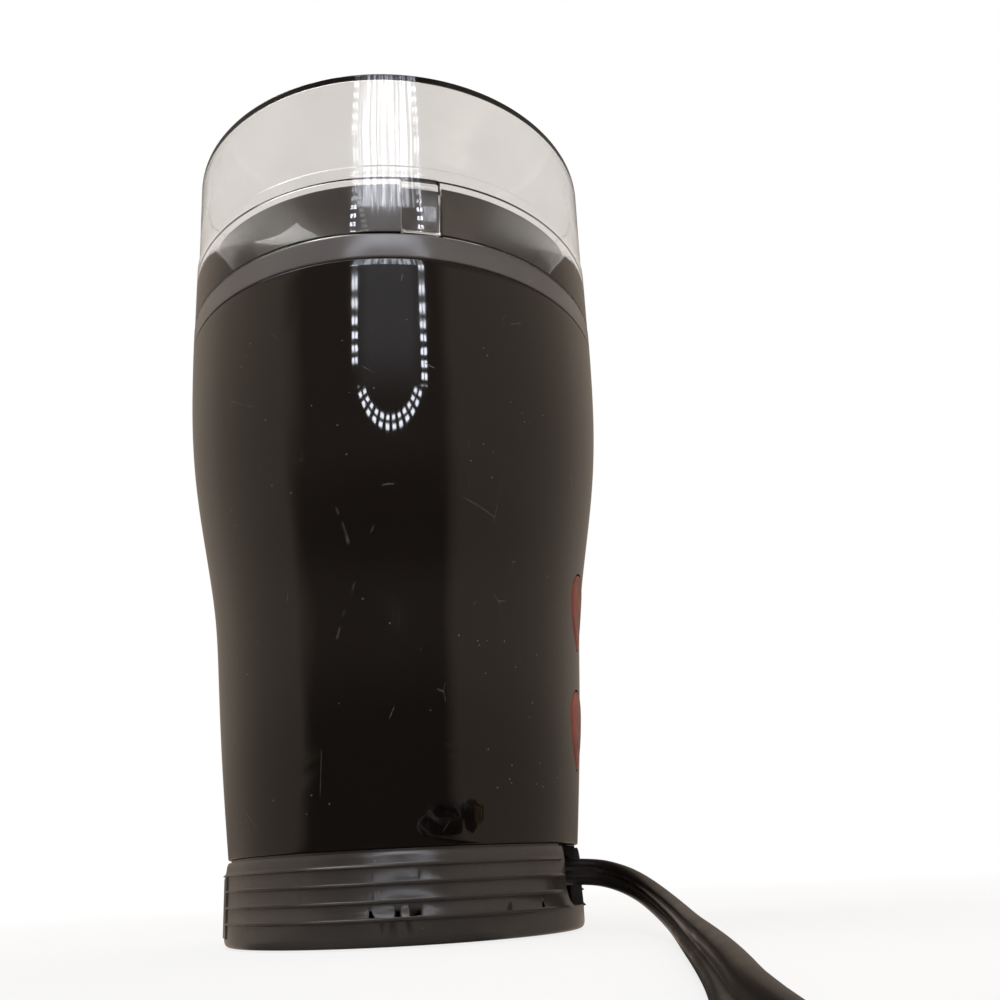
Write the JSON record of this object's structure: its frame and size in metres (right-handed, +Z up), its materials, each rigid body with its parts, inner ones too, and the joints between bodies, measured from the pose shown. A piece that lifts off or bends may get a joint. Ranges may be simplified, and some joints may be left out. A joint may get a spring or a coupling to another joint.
{
  "type": "electric spice grinder",
  "caption": "Small table-top electric spice grinder with a ribbed cord-store base, black barrel body with teardrop push buttons, steel bowl and blade, clear lift-off lid and mains cord",
  "frame": {"origin": "on the table under the centre of the base", "axes": "+Z up along the motor shaft, -Y towards the front with the buttons and the cord notch, +X to the right seen from behind the front"},
  "size_m": [0.2407, 0.232, 0.1944],
  "materials": {
    "skirt_grey": "satin moulded plastic",
    "spool_black": "matt moulded plastic",
    "foot_rubber": "matt rubber",
    "screw_steel": "plated steel",
    "shell_black": "glossy moulded plastic",
    "button_red": "satin brick-red plastic",
    "spring_steel": "drawn spring wire",
    "switch_case": "matt thermoset",
    "switch_plunger": "natural nylon",
    "bracket_nylon": "filled nylon",
    "shaft_steel": "ground steel",
    "lamination": "stacked sheet steel",
    "copper_wire": "enamelled copper wire",
    "commutator_copper": "turned copper",
    "fan_nylon": "matt nylon",
    "strap_zinc": "zinc-plated steel",
    "bush_bronze": "sintered bronze",
    "washer_rubber": "soft rubber",
    "brush_board": "laminated board",
    "brush_carbon": "pressed carbon",
    "collar_grey": "satin moulded plastic",
    "bowl_steel": "deep-drawn stainless steel",
    "blade_steel": "stamped stainless steel",
    "hub_white": "natural acetal",
    "lid_clear": "clear smoky plastic",
    "cord_black": "soft PVC sheath",
    "plug_black": "moulded PVC",
    "plug_brass": "plain brass"
  },
  "bodies": {
    "housing": {"base_skirt": "skirt_grey", "cord_spool": "spool_black", "rubber_feet": "foot_rubber", "spool_screws": "screw_steel", "base_screws": "screw_steel", "body_shell": "shell_black", "upper_button_spring": "spring_steel", "lower_button_spring": "spring_steel", "upper_switch": "switch_case", "lower_switch": "switch_case", "switch_bracket": "bracket_nylon", "bracket_screws": "screw_steel", "stator_core": "lamination", "field_coils": "copper_wire", "lower_bearing_bracket": "strap_zinc", "upper_bearing_bracket": "strap_zinc", "lower_bush": "bush_bronze", "upper_bush": "bush_bronze", "spacer_tubes": "strap_zinc", "motor_bolts": "strap_zinc", "motor_nuts": "strap_zinc", "damping_washers": "washer_rubber", "brush_plate": "brush_board", "brush_holders": "bush_bronze", "carbon_brushes": "brush_carbon", "brush_springs": "spring_steel", "motor_carrier": "bracket_nylon", "carrier_screws": "screw_steel", "neck_collar": "collar_grey", "grinding_bowl": "bowl_steel", "shaft_seal": "washer_rubber", "interlock_spring": "spring_steel", "interlock_switch": "switch_case", "strain_relief": "cord_black", "internal_lead": "cord_black", "mains_cord": "cord_black", "cord_coil": "cord_black", "plug_body": "plug_black", "plug_blades": "plug_brass"},
    "lid": {"lid": "lid_clear"},
    "rotor": {"motor_shaft": "shaft_steel", "rotor_core": "lamination", "armature_winding": "copper_wire", "commutator": "commutator_copper", "cooling_fan": "fan_nylon", "blade_hub": "hub_white", "blade": "blade_steel", "blade_nut": "shaft_steel"},
    "upper_button": {"upper_button": "button_red"},
    "lower_button": {"lower_button": "button_red"},
    "upper_switch_plunger": {"upper_switch_plunger": "switch_plunger"},
    "lower_switch_plunger": {"lower_switch_plunger": "switch_plunger"},
    "interlock_rod": {"interlock_rod": "hub_white"}
  },
  "joints": [
    {"name": "lid_lift", "type": "slide", "parent": "housing", "child": "lid", "axis": [0, 0, 1], "range_m": [0, 0.08]},
    {"name": "blade_spin", "type": "hinge", "parent": "housing", "child": "rotor", "pos_m": [0, 0, 0.142], "axis": [0, 0, 1], "continuous": true},
    {"name": "upper_button_press", "type": "slide", "parent": "housing", "child": "upper_button", "axis": [0, 1, 0], "range_m": [0, 0.0016], "stiffness_N_per_m": 600, "springref_m": -0.0015, "deforming": ["upper_button_spring"]},
    {"name": "lower_button_press", "type": "slide", "parent": "housing", "child": "lower_button", "axis": [0, 1, 0], "range_m": [0, 0.0016], "stiffness_N_per_m": 600, "springref_m": -0.0015, "deforming": ["lower_button_spring"]},
    {"name": "upper_plunger_slide", "type": "slide", "parent": "housing", "child": "upper_switch_plunger", "axis": [0, 1, 0], "range_m": [0, 0.0016]},
    {"name": "lower_plunger_slide", "type": "slide", "parent": "housing", "child": "lower_switch_plunger", "axis": [0, 1, 0], "range_m": [0, 0.0016]},
    {"name": "interlock_rise", "type": "slide", "parent": "housing", "child": "interlock_rod", "axis": [0, 0, 1], "range_m": [0, 0.0022], "deforming": ["interlock_spring"]}
  ],
  "couplings": [
    {"joint": "upper_plunger_slide", "follows": "upper_button_press", "ratio": 1},
    {"joint": "lower_plunger_slide", "follows": "lower_button_press", "ratio": 1},
    {"joint": "interlock_rise", "follows": "lid_lift", "ratio": 0.0275}
  ]
}
